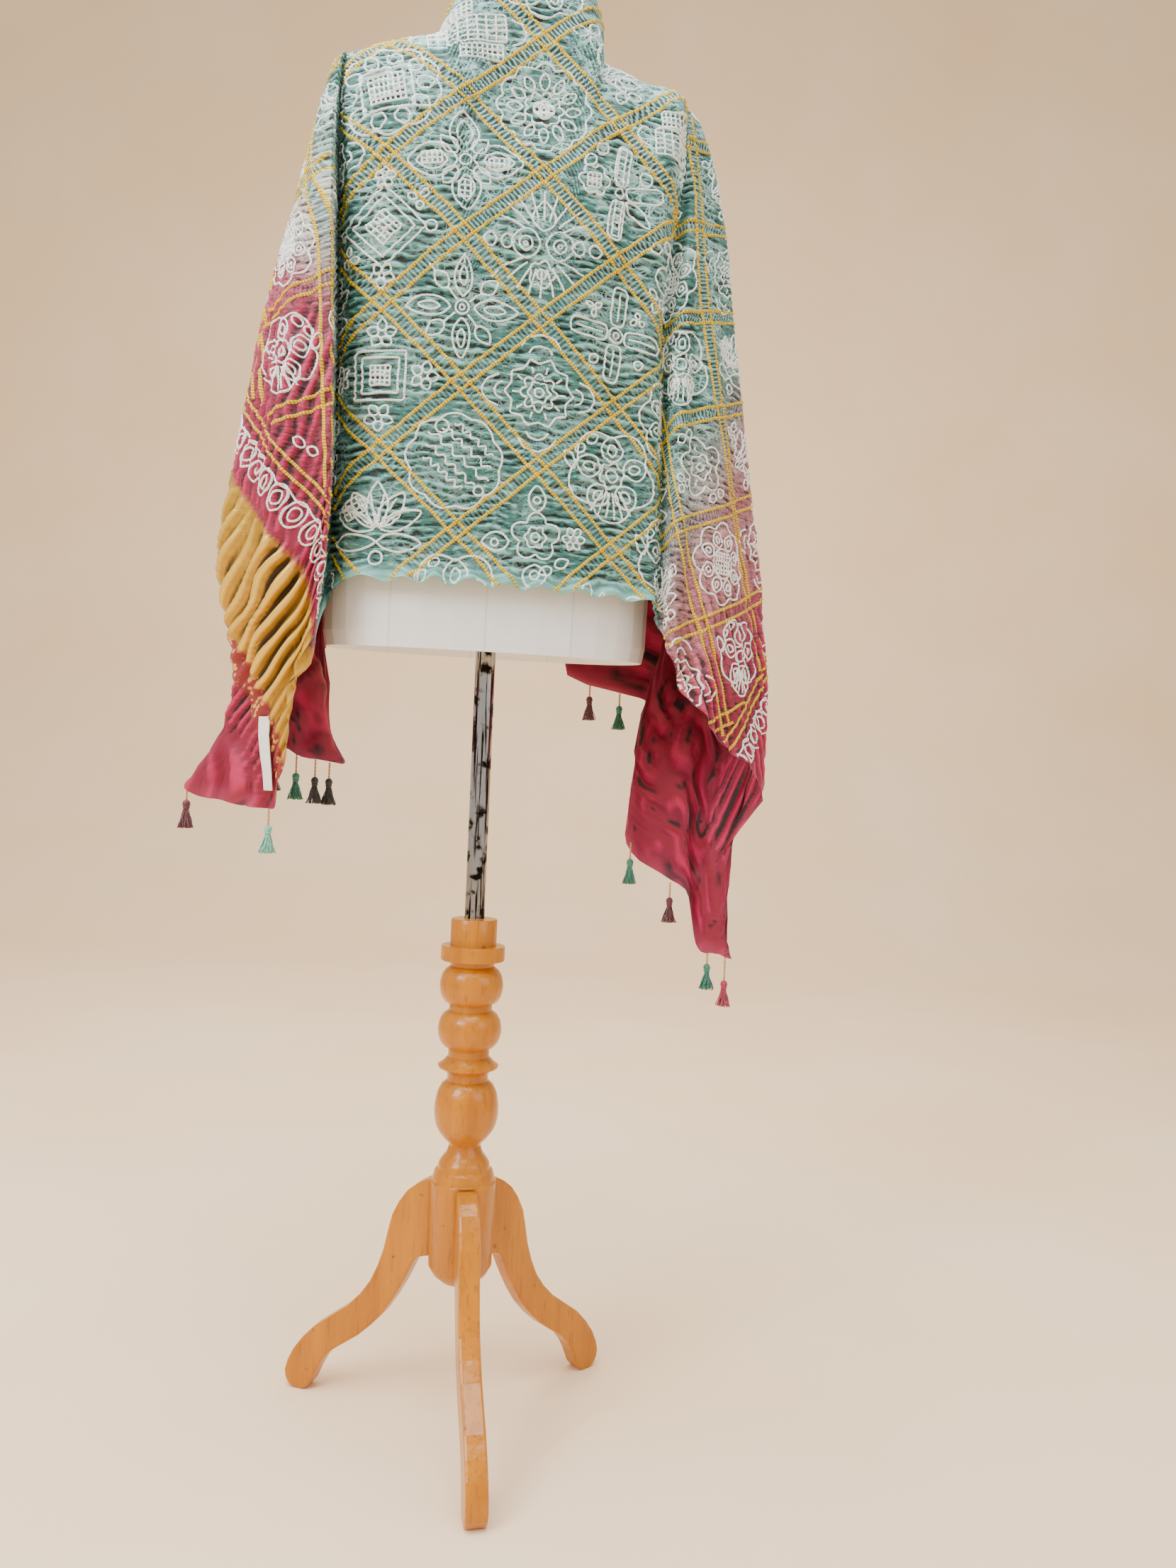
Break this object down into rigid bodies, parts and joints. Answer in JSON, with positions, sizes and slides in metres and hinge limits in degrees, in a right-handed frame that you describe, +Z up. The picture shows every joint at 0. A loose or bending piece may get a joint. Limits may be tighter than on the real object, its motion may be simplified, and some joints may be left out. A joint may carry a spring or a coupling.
{
  "type": "bandhani dupatta on a dress form stand",
  "caption": "Crinkled tie-dyed scarf with tassels, draped over the shoulders of an armless dress form on a pole and a turned wooden tripod.",
  "frame": {"origin": "on the floor, in the middle of the whole object's footprint box", "axes": "+Z up, -Y toward the viewer of the picture, +X to that viewer's right"},
  "size_m": [0.6385, 0.3632, 1.6137],
  "materials": {
    "silk_crepe": "crinkled, matt with a soft sheen",
    "label_ribbon": "plain woven ribbon",
    "thread_mint": "thread",
    "thread_green": "thread",
    "thread_maroon": "thread",
    "thread_black": "thread",
    "thread_crimson": "thread",
    "form_cover": "tight matt cover",
    "steel": "worn, scratched",
    "varnished_wood": "gloss varnish"
  },
  "bodies": {
    "root": {"dupatta": "silk_crepe", "tassel_01": "thread_mint", "tassel_02": "thread_maroon", "tassel_03": "thread_green", "tassel_04": "thread_black", "tassel_05": "thread_green", "tassel_06": "thread_black", "tassel_07": "thread_black", "tassel_08": "thread_crimson", "tassel_09": "thread_green", "tassel_10": "thread_maroon", "tassel_11": "thread_green", "tassel_12": "thread_green", "tassel_13": "thread_maroon", "label": "label_ribbon", "form": "form_cover", "pole": "steel", "column": "varnished_wood", "leg_front": "varnished_wood", "leg_right": "varnished_wood", "leg_left": "varnished_wood"}
  },
  "joints": []
}
